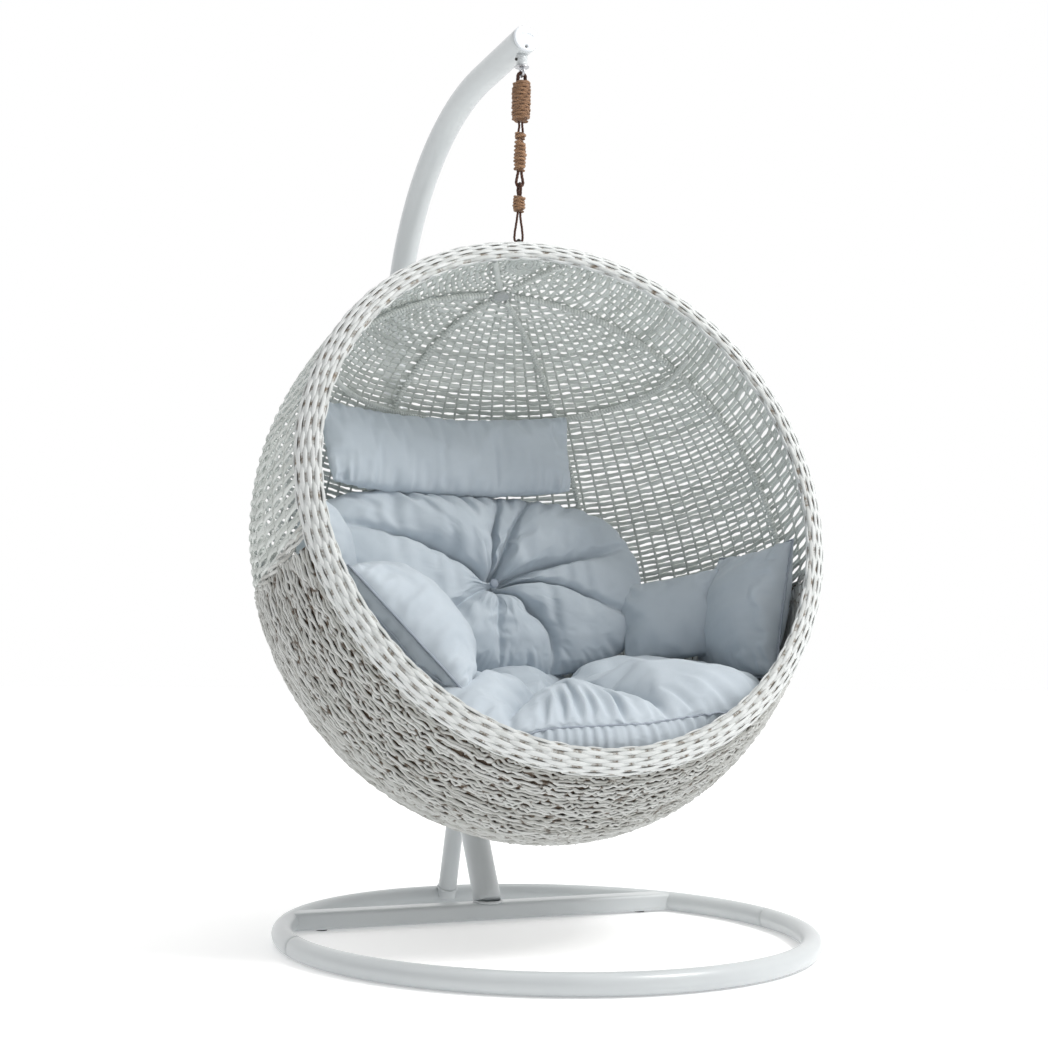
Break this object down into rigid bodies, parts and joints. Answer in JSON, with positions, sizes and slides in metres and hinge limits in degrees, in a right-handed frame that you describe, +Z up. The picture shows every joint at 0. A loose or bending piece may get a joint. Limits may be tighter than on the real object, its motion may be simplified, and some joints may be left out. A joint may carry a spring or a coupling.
{
  "type": "hanging egg chair",
  "caption": "Woven egg-shaped hanging basket seat with loose cushions, hung by a rope and swivel from a curved mast on a ring base.",
  "frame": {"origin": "on the floor, on the line the basket hangs on, which is also the middle of the object seen from above", "axes": "+Z up; the open front of the basket faces -Y and the mast stands behind it at +Y; +X is to the sitter's left"},
  "size_m": [1.217, 1.5196, 1.9803],
  "materials": {
    "white_paint": "gloss",
    "cap_plastic": "satin",
    "dark_steel": "satin",
    "zinc_steel": "satin",
    "pad_rubber": "matte",
    "jute_wrap": "matte",
    "dark_cord": "matte",
    "pale_wicker": "satin",
    "rib_steel": "satin",
    "cushion_cloth": "matte"
  },
  "bodies": {
    "stand": {"base_ring_front": "white_paint", "base_ring_rear": "white_paint", "ring_spigot_left": "zinc_steel", "ring_spigot_right": "zinc_steel", "base_crossbar": "white_paint", "crossbar_pad_left": "pad_rubber", "crossbar_pad_right": "pad_rubber", "mast_lower": "white_paint", "mast_spigot": "zinc_steel", "mast_upper": "white_paint", "rear_brace": "white_paint", "mast_end_cap": "cap_plastic", "end_cap_screw": "dark_steel", "swivel_collar": "white_paint", "collar_bolt": "dark_steel"},
    "swivel": {"swivel_spindle": "zinc_steel", "swivel_nut": "zinc_steel"},
    "upper_hanger": {"upper_loop": "dark_cord", "upper_wrap": "jute_wrap", "hanger_strand_left": "dark_cord", "hanger_strand_right": "dark_cord", "hanger_knot": "jute_wrap", "middle_wrap": "jute_wrap", "upper_link": "dark_cord"},
    "lower_hanger": {"lower_link": "dark_cord", "lower_wrap": "jute_wrap", "teardrop_loop": "dark_cord"},
    "basket": {"dome_weave": "pale_wicker", "bowl_weave": "pale_wicker", "rim_band": "pale_wicker", "rim_hoop": "rib_steel", "frame_crown": "rib_steel", "rib_back_left": "rib_steel", "rib_back_right": "rib_steel", "rib_side_left": "rib_steel", "rib_side_right": "rib_steel", "rib_front_left": "rib_steel", "rib_front_right": "rib_steel", "frame_ring_upper": "rib_steel", "frame_ring_lower": "rib_steel", "basket_eye": "dark_steel", "seat_cushion": "cushion_cloth", "back_cushion": "cushion_cloth", "back_button": "cushion_cloth", "head_pillow": "cushion_cloth", "side_bolster_left": "cushion_cloth", "side_bolster_right": "cushion_cloth", "throw_pillow_left": "cushion_cloth", "throw_pillow_right": "cushion_cloth"}
  },
  "joints": [
    {"name": "basket_swivel", "type": "hinge", "parent": "stand", "child": "swivel", "pos_m": [0, 0, 1.879], "axis": [0, 0, 1], "range_deg": [-20, 20]},
    {"name": "fore_aft_swing", "type": "hinge", "parent": "swivel", "child": "upper_hanger", "pos_m": [0, 0, 1.879], "axis": [1, 0, 0], "range_deg": [-12, 1]},
    {"name": "side_swing", "type": "hinge", "parent": "upper_hanger", "child": "lower_hanger", "pos_m": [0, 0, 1.63], "axis": [0, 1, 0], "range_deg": [-4, 4]},
    {"name": "basket_nod", "type": "hinge", "parent": "lower_hanger", "child": "basket", "pos_m": [0, 0, 1.492], "axis": [1, 0, 0], "range_deg": [-6, 1]}
  ]
}
